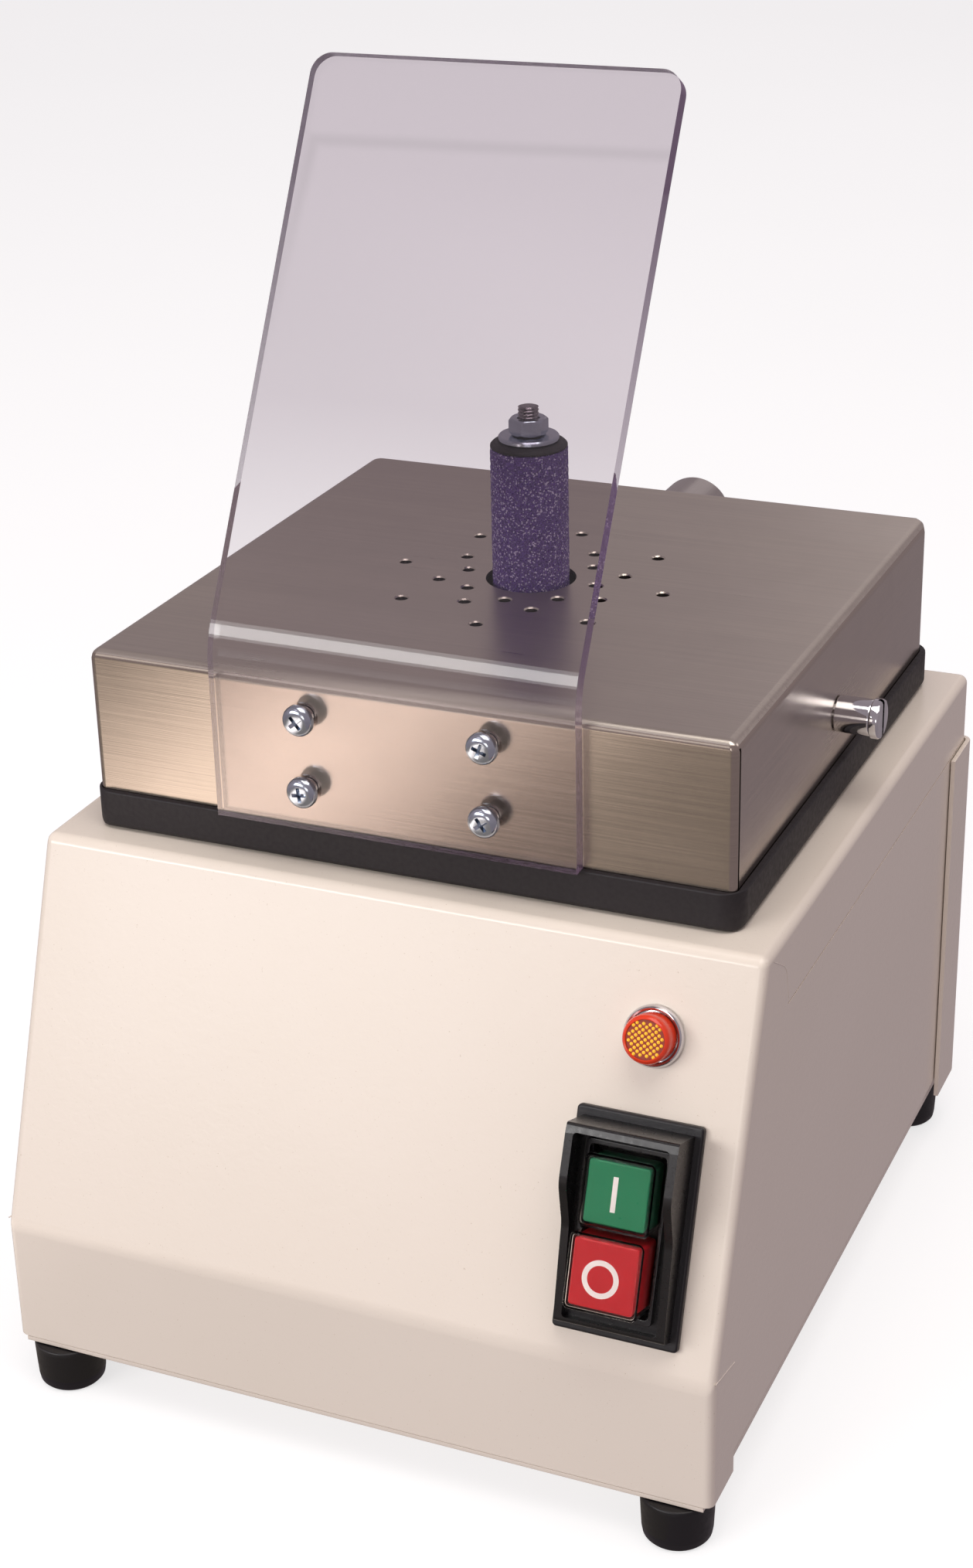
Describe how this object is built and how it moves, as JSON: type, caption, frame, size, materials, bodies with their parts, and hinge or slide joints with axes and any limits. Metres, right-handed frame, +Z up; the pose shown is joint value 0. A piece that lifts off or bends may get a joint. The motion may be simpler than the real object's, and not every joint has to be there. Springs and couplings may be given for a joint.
{
  "type": "benchtop drum sander",
  "caption": "Benchtop drum sander: an upright powered drum through a perforated suction table, with a clear shield, a mains switch and a dust outlet.",
  "frame": {"origin": "on the surface the machine stands on, under the middle of its overall footprint", "axes": "+X to the machine's right as seen from the front, +Y to the back, +Z up"},
  "size_m": [0.2186, 0.2862, 0.3682],
  "materials": {
    "cream_powder_coat": "fine orange-peel powder coat",
    "stainless_brushed": "brushed",
    "stainless": "satin",
    "black_rubber": "matt",
    "clear_sheet": "clear acrylic sheet",
    "abrasive": "grit",
    "chrome_plate": "polished",
    "zinc_plate": "bright zinc",
    "turned_steel": "turned",
    "cast_alloy": "as cast",
    "stator_steel": "lacquered",
    "black_plastic": "semi-gloss",
    "green_plastic": "gloss",
    "red_plastic": "gloss",
    "orange_lens": "gloss",
    "grey_plastic": "matt"
  },
  "bodies": {
    "housing": {"base_plate": "cream_powder_coat", "dust_tray": "stainless", "foot_front_left": "black_rubber", "foot_front_right": "black_rubber", "foot_rear_left": "black_rubber", "foot_rear_right": "black_rubber", "foot_screw_front_left": "zinc_plate", "foot_screw_front_right": "zinc_plate", "foot_screw_rear_left": "zinc_plate", "foot_screw_rear_right": "zinc_plate", "housing_shell": "cream_powder_coat", "lamp_bezel": "chrome_plate", "lamp_lens": "orange_lens", "lamp_nut": "zinc_plate", "lower_bearing": "turned_steel", "motor_bottom_bell": "cast_alloy", "motor_housing": "stator_steel", "motor_screw_1": "zinc_plate", "motor_screw_2": "zinc_plate", "motor_screw_3": "zinc_plate", "motor_screw_4": "zinc_plate", "motor_top_bell": "cast_alloy", "power_inlet": "black_plastic", "rear_cover": "cream_powder_coat", "rear_screw_1": "zinc_plate", "rear_screw_2": "zinc_plate", "rear_screw_3": "zinc_plate", "rear_screw_4": "zinc_plate", "run_capacitor": "grey_plastic", "switch_body": "black_plastic", "upper_bearing": "turned_steel"},
    "cover": {"suction_table": "stainless_brushed", "cover_trim": "black_rubber", "clear_shield": "clear_sheet", "exhaust_port": "stainless", "latch_barrel": "chrome_plate", "latch_nut": "zinc_plate", "shield_screw_1": "zinc_plate", "shield_screw_2": "zinc_plate", "shield_screw_3": "zinc_plate", "shield_screw_4": "zinc_plate", "shield_nut_1": "zinc_plate", "shield_nut_2": "zinc_plate", "shield_nut_3": "zinc_plate", "shield_nut_4": "zinc_plate"},
    "rotor": {"spindle_shaft": "turned_steel", "drum_seat": "turned_steel", "drum_core": "black_rubber", "abrasive_sleeve": "abrasive", "drum_washer": "zinc_plate", "drum_nut": "zinc_plate", "cooling_fan": "black_plastic"},
    "latch": {"latch_knob": "chrome_plate"},
    "start_button": {"start_button": "green_plastic"},
    "stop_button": {"stop_button": "red_plastic"}
  },
  "joints": [
    {"name": "spindle_spin", "type": "hinge", "parent": "housing", "child": "rotor", "pos_m": [0, 0.00929, 0.2163], "axis": [0, 0, 1], "continuous": true},
    {"name": "cover_lift", "type": "slide", "parent": "housing", "child": "cover", "axis": [0, 0, 1], "range_m": [0, 0.06]},
    {"name": "latch_turn", "type": "hinge", "parent": "cover", "child": "latch", "pos_m": [0.0949, 0.00479, 0.1887], "axis": [1, 0, 0], "range_deg": [0, 90]},
    {"name": "start_press", "type": "slide", "parent": "housing", "child": "start_button", "axis": [0, 0.9409, -0.3387], "range_m": [0, 0.003], "stiffness_N_per_m": 600, "springref_m": -0.002},
    {"name": "stop_press", "type": "slide", "parent": "housing", "child": "stop_button", "axis": [0, 0.9409, -0.3387], "range_m": [0, 0.003], "stiffness_N_per_m": 600, "springref_m": -0.002}
  ]
}
